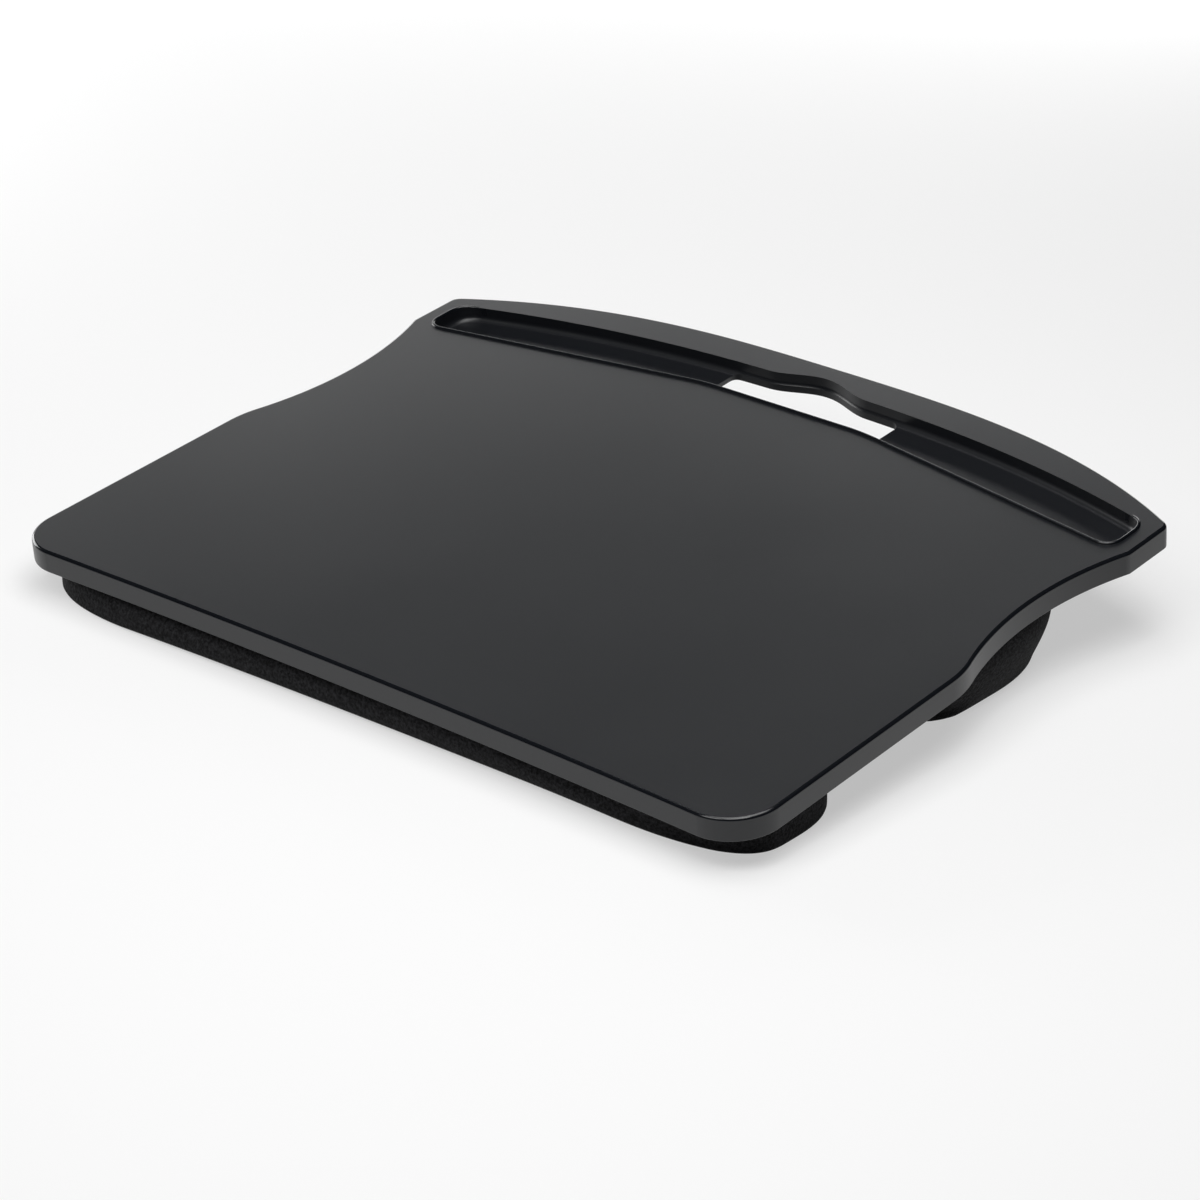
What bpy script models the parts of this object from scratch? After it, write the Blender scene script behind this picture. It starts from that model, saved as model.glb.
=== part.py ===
"""Lap tray: a moulded deck with a pen trough and a hand hole, carried on two filled cushions.

Each piece is its own object. The deck, the boards and the screws are modelled in the deck's
own plane, with x to the right, y from the front edge to the rear edge and z up from the top
face. One empty tilts that plane, so that the deck slopes down to the user. The cushions hang
from the tilted deck and stand on the floor, so their outlines follow both.
"""

import math

import bmesh
import bpy
from mathutils import Vector

# Deck outline, in the plane of its top face
deck_width = 0.431
deck_depth = 0.3484
front_bow = 0.0039
front_corner_radius = 0.024
waist_length = 0.123
waist_depth = 0.0112
ear_length = 0.0307
rear_corner_radius = 0.004
rear_arc_drop = 0.0428
rear_arc_power = 2.9

# Deck walls
plate = 0.0025
skirt_wall = 0.0025
skirt_depth = 0.011
top_round = 0.0016
lower_round = 0.0006

# Pen trough behind the work surface
trough_depth = 0.0073
trough_floor = 0.0023
trough_wall = 0.0024
trough_middle_width = 0.0275
trough_rim = 0.0197
trough_end_rim = 0.0105
trough_back_drop = 0.028
trough_back_power = 2.3
trough_corner_radius = 0.0095
trough_cove = 0.005
tub_cove = 0.002
wing_drop = 0.0272
wing_bend = 0.010
straight_front_length = 0.096

# Rounded bead around the front and the ends of the trough
bead_width = 0.0024
bead_height = 0.001
bead_root = 0.0012
bead_overlap = 0.0007
bead_fade_length = 0.012

# Hand hole through the floor of the trough
hole_length = 0.100
hole_ledge = 0.0007
hole_corner_radius = 0.004
finger_bump = 0.0075
finger_bump_length = 0.060

# Ribs and screw bosses under the deck
rib_thickness = 0.0018
rib_height = 0.004
boss_radius = 0.004
boss_end_inset = 0.0385
boss_hem_gap = 0.006
pilot_tip_gap = 0.0009

# How the tray stands
front_height = 0.025
deck_tilt = math.radians(5.45)

# Cushions: sewn covers with a filling, each held by a board
hem_thickness = 0.001
cover_thickness = 0.0012
hem_width = 0.010
board_thickness = 0.003
front_cushion_setback = 0.0052
front_cushion_depth = 0.079
front_cushion_side_inset = 0.008
front_cushion_bulge = 0.0025
front_cushion_lower_round = 0.003
front_cushion_corner_radius = 0.035
rear_cushion_trough_gap = 0.0056
rear_cushion_depth = 0.102
rear_cushion_waist_inset = 0.0083
rear_cushion_bulge = 0.006
rear_cushion_lower_round = 0.005
rear_cushion_front_radius = 0.014
rear_cushion_rear_radius = 0.050
crown_cut = 0.0005

# Screws that hold the boards
screw_radius = 0.0012
screw_head_radius = 0.0031
screw_head_height = 0.0018
screw_length = 0.0082
screw_recess_depth = 0.001
screw_recess_length = 0.0034
screw_recess_width = 0.0008
screw_tip_length = 0.0018
screw_rim = 0.0003
screw_hole_play = 0.0006

# Fits
clearance = 0.0003
overrun = 0.002

# Places of the four bosses in a row, as shares of half the row's length
boss_column_shares = (-1.0, -1.0 / 3.0, 1.0 / 3.0, 1.0)

# Heights down the side of a cushion, and how far out its bulge stands there
side_drop_shares = (0.0, 0.2, 0.4, 0.6)
side_bulge_shares = (0.0, 0.7, 1.0, 0.8)

# Where the bead's inner side starts to lean back, and how far it leans, as shares of its size
bead_upright_share = 1.0 / 3.0
bead_lean_share = 0.2

# The bead sinks under the deck's top at its two ends, by a share of its root
bead_sink_share = 0.2

# The thin end of a screw, and the part of a trough's corner that counts as its back
screw_point_share = 0.25
back_corner_share = 0.25

# A sharp corner of an outline is moved by no more than twice the distance of its sides
least_mitre_share = 0.5

# Steps along the curves
front_edge_steps = 6
front_corner_steps = 8
waist_steps = 12
rear_edge_steps = 20
round_steps = 4
trough_corner_steps = 6
trough_back_steps = 10
finger_bump_steps = 8
bead_steps = 6
cushion_front_steps = 4
cushion_rear_steps = 3
cushion_corner_steps = 6
cushion_foot_steps = 5
circle_steps = 16

# Levels worked out from the sizes above, measured down from the top face
plate_underside = -plate
plate_middle = plate_underside / 2
rib_underside = plate_underside - rib_height
hem_top = rib_underside - clearance
hem_underside = hem_top - hem_thickness
boss_underside = hem_underside
board_top = boss_underside - clearance
board_underside = board_top - board_thickness
pilot_top = board_underside + screw_length + pilot_tip_gap
trough_floor_top = -trough_depth
trough_underside = -trough_depth - trough_floor

# Places worked out along the deck
half_width = deck_width / 2
rear_corner_y = deck_depth - rear_arc_drop
waist_rear_y = rear_corner_y - ear_length
waist_front_y = waist_rear_y - waist_length
trough_back_y = deck_depth - trough_rim
trough_front_y = trough_back_y - trough_middle_width
trough_half = half_width - trough_end_rim
tub_front_y = trough_front_y - wing_drop - trough_wall
boss_row_inset = hem_width + boss_radius + boss_hem_gap
front_cushion_half = half_width - front_cushion_side_inset
rear_cushion_half = half_width - waist_depth - rear_cushion_waist_inset
boss_row_half = rear_cushion_half - boss_end_inset
screw_hole_radius = screw_radius + screw_hole_play


def remove_everything():
    for existing in list(bpy.data.objects):
        bpy.data.objects.remove(existing, do_unlink=True)


def finish(name, colour, roughness, metallic=0.0):
    material = bpy.data.materials.new(name)
    material.use_nodes = True
    shader = material.node_tree.nodes["Principled BSDF"]
    shader.inputs["Base Color"].default_value = (*colour, 1.0)
    shader.inputs["Roughness"].default_value = roughness
    shader.inputs["Metallic"].default_value = metallic
    material.diffuse_color = (*colour, 1.0)
    return material


def add_piece(name, mesh, material=None, parent=None):
    piece = bpy.data.objects.new(name, mesh)
    bpy.context.scene.collection.objects.link(piece)
    piece.parent = parent
    if material:
        mesh.materials.clear()
        mesh.materials.append(material)
    return piece


def as_guide(piece):
    """Marks a cutter, or a form that is joined to a piece, as no piece of its own."""
    piece.hide_render = True
    piece.display_type = "WIRE"
    return piece


def arc(centre, radius, start, end, steps):
    """Points on an arc, with the angles in degrees and both ends included."""
    angles = [math.radians(start + (end - start) * step / steps) for step in range(steps + 1)]
    return [centre + radius * Vector((math.cos(a), math.sin(a))) for a in angles]


def mirrored(right_side):
    """Closes a right-hand outline, listed from the front to the rear, with its left twin."""
    left_side = [Vector((-p.x, p.y)) for p in reversed(right_side)]
    middle = [p for p in left_side if abs(p.x) > clearance]
    return list(right_side) + middle


def inset(points, distance):
    """The outline moved inwards by a distance, point for point, or outwards if negative."""
    moved = []
    count = len(points)
    for i, point in enumerate(points):
        before = (point - points[i - 1]).normalized()
        after = (points[(i + 1) % count] - point).normalized()
        direction = (before + after).normalized()
        inward = Vector((-direction.y, direction.x))
        square = max(before.dot(direction), least_mitre_share)
        moved.append(point + inward * (distance / square))
    return moved


def widest_at(points, y):
    """How far to the right the outline reaches at one y."""
    reach = 0.0
    for i, end in enumerate(points):
        start = points[i - 1]
        if (start.y - y) * (end.y - y) <= 0.0 and start.y != end.y:
            share = (y - start.y) / (end.y - start.y)
            reach = max(reach, start.x + (end.x - start.x) * share)
    return reach


def front_line(x):
    return front_bow * (1 - (x / half_width) ** 2)


def rear_line(x):
    return deck_depth - rear_arc_drop * abs(x / half_width) ** rear_arc_power


def deck_outline():
    """The edge of the deck, from the middle of the front round by the right."""
    corner_x = half_width - front_corner_radius
    right = [Vector((x, front_line(x))) for x in spread(0.0, corner_x, front_edge_steps)]
    corner_centre = Vector((corner_x, right[-1].y + front_corner_radius))
    right += arc(corner_centre, front_corner_radius, -90, 0, front_corner_steps)[1:]
    right += waist_points()
    right += rear_corner_points()
    inner_x = half_width - 2 * rear_corner_radius
    right += [Vector((x, rear_line(x))) for x in spread(inner_x, 0.0, rear_edge_steps)]
    return mirrored(right)


def spread(start, end, steps):
    return [start + (end - start) * step / steps for step in range(steps + 1)]


def waist_points():
    """The concave stretch of the side, a circular arc between two kinks."""
    half = waist_length / 2
    radius = (half**2 + waist_depth**2) / (2 * waist_depth)
    reach = math.degrees(math.asin(half / radius))
    centre = Vector((half_width - waist_depth + radius, waist_front_y + half))
    return arc(centre, radius, 180 + reach, 180 - reach, waist_steps)


def rear_corner_points():
    """The small round where the ear meets the rear arc."""
    start = Vector((half_width, rear_corner_y - rear_corner_radius))
    inner_x = half_width - rear_corner_radius
    end = Vector((inner_x, rear_line(inner_x)))
    corner = Vector((half_width, rear_line(half_width)))
    return curve_through(start, corner, end, round_steps)


def curve_through(start, corner, end, steps):
    """A round corner drawn as a quadratic curve."""
    points = []
    for share in spread(0.0, 1.0, steps):
        points.append(start * (1 - share) ** 2 + corner * (2 * share * (1 - share)) + end * share**2)
    return points


def trough_back_line(x):
    arc_y = trough_back_y - trough_back_drop * abs(x / trough_half) ** trough_back_power
    half_bump = finger_bump_length / 2
    if abs(x) >= half_bump:
        return arc_y
    return arc_y + finger_bump * math.cos(math.pi / 2 * x / half_bump) ** 2


def trough_front_line(x):
    half_straight = straight_front_length / 2
    run = max(abs(x) - half_straight, 0.0)
    return trough_front_y - wing_drop * run / (trough_half - half_straight)


def trough_outline():
    """The mouth of the trough: a straight middle with two slanting wings, and an arced back."""
    radius = trough_corner_radius
    half_straight = straight_front_length / 2
    half_bump = finger_bump_length / 2
    inner_x = trough_half - radius

    def front(x):
        return Vector((x, trough_front_line(x)))

    def back(x):
        return Vector((x, trough_back_line(x)))

    right = [front(0.0)]
    bend_start, bend_end = front(half_straight - wing_bend), front(half_straight + wing_bend)
    right += curve_through(bend_start, front(half_straight), bend_end, round_steps)
    front_end = front(trough_half) + Vector((0.0, radius))
    right += curve_through(front(inner_x), front(trough_half), front_end, trough_corner_steps)
    back_start = back(trough_half) - Vector((0.0, radius))
    right += curve_through(back_start, back(trough_half), back(inner_x), trough_corner_steps)
    right += [back(x) for x in spread(inner_x, half_bump, trough_back_steps)[1:]]
    right += [back(x) for x in spread(half_bump, 0.0, finger_bump_steps)[1:]]
    return mirrored(right)


def ring(points, z):
    return [Vector((p.x, p.y, z)) for p in points]


def loft(name, rings):
    """A closed solid through rings of equal count, listed from the bottom up."""
    form = bmesh.new()
    loops = [[form.verts.new(p) for p in one_ring] for one_ring in rings]
    count = len(rings[0])
    for lower, upper in zip(loops, loops[1:]):
        for i in range(count):
            j = (i + 1) % count
            form.faces.new((lower[i], lower[j], upper[j], upper[i]))
    form.faces.new(list(reversed(loops[0])))
    form.faces.new(loops[-1])
    mesh = bpy.data.meshes.new(name)
    form.to_mesh(mesh)
    form.free()
    return shaded(mesh)


def shaded(mesh, sharp_angle=40):
    mesh.shade_smooth()
    mesh.set_sharp_from_angle(angle=math.radians(sharp_angle))
    return mesh


def box(name, low, high):
    corners = [(low.x, low.y), (high.x, low.y), (high.x, high.y), (low.x, high.y)]
    outline = [Vector(c) for c in corners]
    return loft(name, [ring(outline, low.z), ring(outline, high.z)])


def circle(centre, radius):
    return arc(centre, radius, 0, 360, circle_steps)[:-1]


def cut(piece, cutter, name):
    modifier = piece.modifiers.new(name, "BOOLEAN")
    modifier.operation = "DIFFERENCE"
    modifier.solver = "EXACT"
    modifier.object = cutter


def cut_all(piece, cutters, name):
    modifier = piece.modifiers.new(name, "BOOLEAN")
    modifier.operation = "DIFFERENCE"
    modifier.solver = "EXACT"
    modifier.operand_type = "COLLECTION"
    modifier.collection = grouped(name, cutters)


def join(piece, forms, name):
    modifier = piece.modifiers.new(name, "BOOLEAN")
    modifier.operation = "UNION"
    modifier.solver = "EXACT"
    modifier.operand_type = "COLLECTION"
    modifier.collection = grouped(name, forms)


def grouped(name, members):
    collection = bpy.data.collections.new(name)
    for member in members:
        collection.objects.link(member)
    return collection


def deck_shell(outline):
    """The deck as a solid slab with a rounded top edge, before it is hollowed."""
    rings = [ring(inset(outline, lower_round), -skirt_depth)]
    rings.append(ring(outline, lower_round - skirt_depth))
    for angle in spread(0.0, math.pi / 2, round_steps):
        inward = top_round * (1 - math.cos(angle))
        rings.append(ring(inset(outline, inward), top_round * (math.sin(angle) - 1)))
    return loft("deck", rings)


def deck_hollow(outline, frame):
    inner = inset(outline, skirt_wall)
    rings = [ring(inner, -skirt_depth - overrun), ring(inner, plate_underside)]
    return as_guide(add_piece("hollow_under_deck", loft("hollow_under_deck", rings), None, frame))


def trough_tub(mouth, frame):
    """The walls and floor that hang under the plate round the trough."""
    outer = inset(mouth, -trough_wall)
    lower = inset(outer, tub_cove)
    rings = [
        ring(lower, trough_underside),
        ring(outer, trough_underside + tub_cove),
        ring(outer, plate_middle),
    ]
    return as_guide(add_piece("trough_tub", loft("trough_tub", rings), None, frame))


def trough_cutter(mouth, frame):
    """The space of the trough: a coved floor, upright walls and a mouth that opens over the bead."""
    rings = []
    for angle in spread(0.0, math.pi / 2, round_steps):
        inward = trough_cove * (1 - math.sin(angle))
        height = trough_cove * (1 - math.cos(angle))
        rings.append(ring(inset(mouth, inward), trough_floor_top + height))
    rings.append(ring(mouth, bead_height * bead_upright_share))
    rings.append(ring(inset(mouth, -bead_width * bead_lean_share), bead_height))
    rings.append(ring(inset(mouth, -bead_width / 2), bead_height + overrun))
    return as_guide(add_piece("trough_space", loft("trough_space", rings), None, frame))


def hole_outline():
    """The hand hole runs the whole width of the trough, with round corners at its ends."""
    half = hole_length / 2
    inner_x = half - hole_corner_radius
    corner = Vector((0.0, hole_corner_radius))

    def front(x):
        return Vector((x, trough_front_line(x) + hole_ledge))

    def back(x):
        return Vector((x, trough_back_line(x) - hole_ledge))

    right = [front(0.0)]
    right += curve_through(front(inner_x), front(half), front(half) + corner, round_steps)
    right += curve_through(back(half) - corner, back(half), back(inner_x), round_steps)
    bump_start = min(inner_x, finger_bump_length / 2)
    right += [back(x) for x in spread(bump_start, 0.0, finger_bump_steps) if x < inner_x]
    return mirrored(right)


def hole_cutter(frame):
    outline = hole_outline()
    rings = [ring(outline, trough_underside - overrun), ring(outline, plate_underside)]
    return as_guide(add_piece("hand_hole_space", loft("hand_hole_space", rings), None, frame))


def bead(mouth, frame):
    """A low round ridge along the ends and the front of the mouth, fading at the back corners."""
    path = bead_path(mouth)
    lengths = [0.0]
    for start, end in zip(path, path[1:]):
        lengths.append(lengths[-1] + (end[0] - start[0]).length)
    rings = []
    for (point, outward), along in zip(path, lengths):
        fade = min(along / bead_fade_length, (lengths[-1] - along) / bead_fade_length, 1.0)
        rise = bead_height * fade - bead_root * bead_sink_share * (1 - fade)
        rings.append(bead_section(point, outward, rise))
    return as_guide(add_piece("trough_bead", loft("trough_bead", rings), None, frame))


def bead_path(mouth):
    """Mouth points, with their outward directions, from one back corner round the front to the other."""
    outer = inset(mouth, -bead_width)
    corner_x = trough_half - trough_corner_radius
    kept = []
    for point, moved in zip(mouth, outer):
        at_back = point.y > trough_back_line(point.x) - trough_corner_radius * back_corner_share
        if not (at_back and abs(point.x) < corner_x - clearance):
            kept.append((point, (moved - point).normalized()))
    right = [pair for pair in kept if pair[0].x >= 0.0]
    left = [pair for pair in kept if pair[0].x < 0.0]
    return left + right


def bead_section(point, outward, rise):
    """One cross-section of the ridge, from its inner foot over the top to its outer foot."""
    inner_foot = point - outward * bead_overlap
    outer_foot = inner_foot + outward * bead_width
    section = []
    for share in spread(0.0, 1.0, bead_steps):
        place = inner_foot + outward * (bead_width * share)
        section.append(Vector((*place, rise * math.sin(math.pi * share))))
    section.append(Vector((*outer_foot, -bead_root)))
    section.append(Vector((*inner_foot, -bead_root)))
    return section


def boss_places(front_y, rear_y):
    """Where the eight screws of one board go."""
    rows = (front_y + boss_row_inset, rear_y - boss_row_inset)
    return [Vector((share * boss_row_half, y)) for y in rows for share in boss_column_shares]


def ribs(outline, rows, frame):
    """Ribs through the rows and columns of bosses, from skirt to skirt."""
    forms = []
    half = rib_thickness / 2
    for number, y in enumerate(rows):
        reach = widest_at(outline, y) - skirt_wall / 2
        low = Vector((-reach, y - half, rib_underside))
        forms.append(box(f"cross_rib_{number + 1}", low, Vector((reach, y + half, plate_middle))))
    for number, share in enumerate(boss_column_shares):
        x = share * boss_row_half
        low = Vector((x - half, front_line(x) + skirt_wall / 2, rib_underside))
        high = Vector((x + half, rear_line(x) - skirt_wall / 2, plate_middle))
        forms.append(box(f"long_rib_{number + 1}", low, high))
    return [as_guide(add_piece(mesh.name, mesh, None, frame)) for mesh in forms]


def pillars(name, places, radius, low_z, high_z, frame):
    made = []
    for number, place in enumerate(places):
        outline = circle(place, radius)
        mesh = loft(f"{name}_{number + 1}", [ring(outline, low_z), ring(outline, high_z)])
        made.append(as_guide(add_piece(mesh.name, mesh, None, frame)))
    return made


def make_deck(frame, places, rows, material):
    outline = deck_outline()
    mouth = trough_outline()
    deck = add_piece("deck", deck_shell(outline), material, frame)
    cut(deck, deck_hollow(outline, frame), "hollow")
    bosses = pillars("boss", places, boss_radius, boss_underside, plate_middle, frame)
    under_deck = ribs(outline, rows, frame) + bosses + [trough_tub(mouth, frame)]
    join(deck, under_deck + [bead(mouth, frame)], "structure")
    cut(deck, trough_cutter(mouth, frame), "trough")
    cut(deck, hole_cutter(frame), "hand_hole")
    pilot_radius = screw_radius + clearance
    pilots = pillars("pilot", places, pilot_radius, boss_underside - overrun, pilot_top, frame)
    cut_all(deck, pilots, "pilot_holes")
    return deck


def cushion_outline(half_length, front_y, rear_y, front_radius, rear_radius, bow):
    """Plan of a cushion at the level of the deck's underside."""

    def front(x):
        return front_y + bow * (1 - (x / half_length) ** 2)

    front_x = half_length - front_radius
    rear_x = half_length - rear_radius
    right = [Vector((x, front(x))) for x in spread(0.0, front_x, cushion_front_steps)]
    front_centre = Vector((front_x, right[-1].y + front_radius))
    rear_centre = Vector((rear_x, rear_y - rear_radius))
    right += arc(front_centre, front_radius, -90, 0, cushion_corner_steps)[1:]
    right += arc(rear_centre, rear_radius, 0, 90, cushion_corner_steps)
    right += [Vector((x, rear_y)) for x in spread(rear_x, 0.0, cushion_rear_steps)[1:]]
    return mirrored(right)


def to_world(point, z):
    """A point of the deck's plane, at a height z off its top face, as the tilt places it."""
    return Vector((
        point.x,
        origin_shift + point.y * math.cos(deck_tilt) - z * math.sin(deck_tilt),
        front_height + point.y * math.sin(deck_tilt) + z * math.cos(deck_tilt),
    ))


def side_rings(outline, bulge, lower_round, shrink):
    """The side of a cushion from the board down to the floor, as rings in world space.

    The side swells below the deck, draws in again and rolls under to a flat foot. The crown
    of the foot is cut flat. A shrink gives the surface that much further in.
    """
    rings = []
    for drop, out in zip(side_drop_shares, side_bulge_shares):
        rings.append(dropped(inset(outline, shrink - bulge * out), drop, shrink))
    start_bulge = bulge * side_bulge_shares[-1]
    for angle in spread(0.0, math.pi / 2, cushion_foot_steps)[1:]:
        inward = (lower_round + start_bulge) * (1 - math.cos(angle))
        drop = side_drop_shares[-1] + (1 - side_drop_shares[-1]) * math.sin(angle)
        rings.append(dropped(inset(outline, shrink - start_bulge + inward), drop, shrink))
    return rings


def dropped(outline, drop, shrink):
    """An outline lowered from the board's underside by a share of the way to the foot."""
    placed = []
    foot_height = shrink
    crown_bottom = foot_height - crown_cut
    for point in outline:
        top = to_world(point, board_underside)
        crowned = crown_bottom + (top.z - crown_bottom) * (1 - drop)
        placed.append(Vector((top.x, top.y, max(crowned, foot_height))))
    return placed


def make_cover(name, outline, bulge, lower_round, material):
    """A sewn cover: a bag with a hem that is turned in over the edge of the board."""
    hem_edge = inset(outline, hem_width)
    wall_inside = inset(outline, cover_thickness)
    outer = [
        [to_world(p, hem_top) for p in hem_edge],
        [to_world(p, hem_top) for p in inset(outline, hem_thickness / 2)],
        [to_world(p, hem_top - hem_thickness / 2) for p in outline],
    ]
    outer += side_rings(outline, bulge, lower_round, 0.0)
    inner = [
        [to_world(p, hem_underside) for p in hem_edge],
        [to_world(p, hem_underside) for p in wall_inside],
    ]
    inner += side_rings(outline, bulge, lower_round, cover_thickness)
    return add_piece(name, open_bag(name, outer, inner), material)


def open_bag(name, outer, inner):
    """One wall between an outer and an inner surface, joined at the mouth and closed at the foot."""
    form = bmesh.new()
    skins = []
    for rings in (outer, inner):
        skins.append([[form.verts.new(p) for p in one_ring] for one_ring in rings])
    outer_loops, inner_loops = skins
    count = len(outer_loops[0])
    for i in range(count):
        j = (i + 1) % count
        for upper, lower in zip(outer_loops, outer_loops[1:]):
            form.faces.new((upper[i], lower[i], lower[j], upper[j]))
        for upper, lower in zip(inner_loops, inner_loops[1:]):
            form.faces.new((upper[j], lower[j], lower[i], upper[i]))
        form.faces.new((inner_loops[0][i], outer_loops[0][i], outer_loops[0][j], inner_loops[0][j]))
    form.faces.new(list(reversed(outer_loops[-1])))
    form.faces.new(inner_loops[-1])
    mesh = bpy.data.meshes.new(name)
    form.to_mesh(mesh)
    form.free()
    return shaded(mesh)


def make_filling(name, outline, bulge, lower_round, material):
    """The filling takes up the whole bag under the board."""
    rings = side_rings(outline, bulge, lower_round, cover_thickness + clearance)
    edge = inset(outline, cover_thickness + clearance)
    rings[0] = [to_world(p, board_underside - clearance) for p in edge]
    return add_piece(name, loft(name, list(reversed(rings))), material)


def make_board(name, outline, places, frame, material):
    """A flat board inside the top of the cover, countersunk for its screws."""
    edge = inset(outline, cover_thickness + clearance)
    slab = loft(name, [ring(edge, board_underside), ring(edge, board_top)])
    board = add_piece(name, slab, material, frame)
    holes = []
    for number, place in enumerate(places):
        sizes = [
            (screw_head_radius + clearance, board_underside - overrun),
            (screw_head_radius + clearance, board_underside),
            (screw_hole_radius, board_underside + screw_head_height + clearance),
            (screw_hole_radius, board_top + overrun),
        ]
        rings = [ring(circle(place, radius), z) for radius, z in sizes]
        hole = loft(f"{name}_hole_{number + 1}", rings)
        holes.append(as_guide(add_piece(hole.name, hole, None, frame)))
    cut_all(board, holes, f"{name}_holes")
    return board


def screw_mesh():
    """A countersunk screw, its head down and its tip up, with its head's face at the origin."""
    centre = Vector((0.0, 0.0))
    sizes = [
        (screw_head_radius, 0.0),
        (screw_head_radius, screw_rim),
        (screw_radius, screw_head_height),
        (screw_radius, screw_length - screw_tip_length),
        (screw_radius * screw_point_share, screw_length),
    ]
    return loft("screw", [ring(circle(centre, radius), z) for radius, z in sizes])


def recess_cutters():
    """Two crossing slots for the driver."""
    long_half = screw_recess_length / 2
    short_half = screw_recess_width / 2
    slots = []
    for number, (x, y) in enumerate(((long_half, short_half), (short_half, long_half))):
        low = Vector((-x, -y, -overrun))
        slots.append(box(f"driver_slot_{number + 1}", low, Vector((x, y, screw_recess_depth))))
    return [as_guide(add_piece(mesh.name, mesh)) for mesh in slots]


def make_screws(name, places, frame, material):
    shared = cross_head_screw(name)
    for number, place in enumerate(places):
        screw = add_piece(f"{name}_{number + 1}", shared, material, frame)
        screw.location = (place.x, place.y, board_underside)


def cross_head_screw(name):
    """The finished screw mesh, with its driver recess cut."""
    blank = add_piece(f"{name}_blank", screw_mesh())
    cut_all(blank, recess_cutters(), f"{name}_recess")
    bpy.context.view_layer.update()
    graph = bpy.context.evaluated_depsgraph_get()
    mesh = bpy.data.meshes.new_from_object(blank.evaluated_get(graph))
    mesh.name = name
    bpy.data.objects.remove(blank, do_unlink=True)
    return shaded(mesh)


remove_everything()

# The origin lies on the floor under the middle of the deck, seen from above.
front_extent = top_round * math.sin(deck_tilt)
rear_extent = deck_depth * math.cos(deck_tilt) + (skirt_depth - lower_round) * math.sin(deck_tilt)
origin_shift = -(front_extent + rear_extent) / 2

deck_frame = bpy.data.objects.new("deck_frame", None)
bpy.context.scene.collection.objects.link(deck_frame)
deck_frame.location = (0.0, origin_shift, front_height)
deck_frame.rotation_euler = (deck_tilt, 0.0, 0.0)

moulded_plastic = finish("moulded_plastic", (0.047, 0.049, 0.051), 0.42)
stretch_fabric = finish("stretch_fabric", (0.012, 0.012, 0.013), 0.95)
hardboard = finish("hardboard", (0.15, 0.085, 0.045), 0.8)
bead_filling = finish("bead_filling", (0.82, 0.82, 0.8), 0.9)
zinc_steel = finish("zinc_steel", (0.62, 0.63, 0.65), 0.35, 1.0)

front_cushion_front = front_cushion_setback
front_cushion_rear = front_cushion_front + front_cushion_depth
rear_cushion_rear = tub_front_y - rear_cushion_trough_gap
rear_cushion_front = rear_cushion_rear - rear_cushion_depth
front_plan = cushion_outline(
    front_cushion_half, front_cushion_front, front_cushion_rear,
    front_cushion_corner_radius, front_cushion_corner_radius, front_bow,
)
rear_plan = cushion_outline(
    rear_cushion_half, rear_cushion_front, rear_cushion_rear,
    rear_cushion_front_radius, rear_cushion_rear_radius, 0.0,
)
front_places = boss_places(front_cushion_front, front_cushion_rear)
rear_places = boss_places(rear_cushion_front, rear_cushion_rear)
rib_rows = sorted({place.y for place in front_places + rear_places})

make_deck(deck_frame, front_places + rear_places, rib_rows, moulded_plastic)
cushions = (
    ("front", front_plan, front_places, front_cushion_bulge, front_cushion_lower_round),
    ("rear", rear_plan, rear_places, rear_cushion_bulge, rear_cushion_lower_round),
)
for side, plan, places, bulge, lower_roll in cushions:
    make_board(f"{side}_backing_board", plan, places, deck_frame, hardboard)
    make_cover(f"{side}_cushion_cover", plan, bulge, lower_roll, stretch_fabric)
    make_filling(f"{side}_cushion_filling", plan, bulge, lower_roll, bead_filling)
    make_screws(f"{side}_board_screw", places, deck_frame, zinc_steel)
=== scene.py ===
# %% [markdown]
# # A lap tray on two filled cushions
#
# The tray is one black plastic moulding with a pen trough and a hand hole, and it lies on two
# cushions of black stretch fabric. Its engineering model is loaded first and never moved. It
# says where every board, screw and cushion sits. This lesson models the finer surfaces around
# it, gives each one its finish, and lights the tray as a product photographer would.

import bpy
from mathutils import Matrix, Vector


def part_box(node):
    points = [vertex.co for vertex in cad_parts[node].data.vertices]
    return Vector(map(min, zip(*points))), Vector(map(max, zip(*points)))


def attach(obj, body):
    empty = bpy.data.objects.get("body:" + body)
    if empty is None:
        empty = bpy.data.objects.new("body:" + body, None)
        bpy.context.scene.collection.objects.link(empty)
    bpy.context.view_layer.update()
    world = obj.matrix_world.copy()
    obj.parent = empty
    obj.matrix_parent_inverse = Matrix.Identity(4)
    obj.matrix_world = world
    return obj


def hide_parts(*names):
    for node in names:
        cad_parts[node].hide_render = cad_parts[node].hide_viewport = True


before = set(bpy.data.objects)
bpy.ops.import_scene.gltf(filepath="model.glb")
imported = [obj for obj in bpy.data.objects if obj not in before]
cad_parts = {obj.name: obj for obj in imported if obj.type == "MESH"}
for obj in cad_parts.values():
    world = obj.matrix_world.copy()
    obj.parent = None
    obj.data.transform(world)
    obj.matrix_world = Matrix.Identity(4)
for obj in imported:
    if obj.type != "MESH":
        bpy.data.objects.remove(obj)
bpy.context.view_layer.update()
print("nodes in the frame:", len(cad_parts))

# %% [markdown]
# ## The camera
#
# The tray is seen from above its front right corner with a long lens, so its edges stay almost
# parallel. A camera could be placed by eye, but every later comparison would then be a guess.
# This one was worked out from the outline of the deck: where it stands, how it is turned and
# the length of its lens. It comes first, because all the other choices are judged through it.

# %% Stand the camera
import math

import bmesh
import bpy
from mathutils import Vector

camera_place = Vector((1.0600, -1.2462, 0.7775))
camera_pitch = math.radians(64.502)
camera_turn = math.radians(40.558)
lens_length = 118.01
farthest_seen = 30.0

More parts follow.
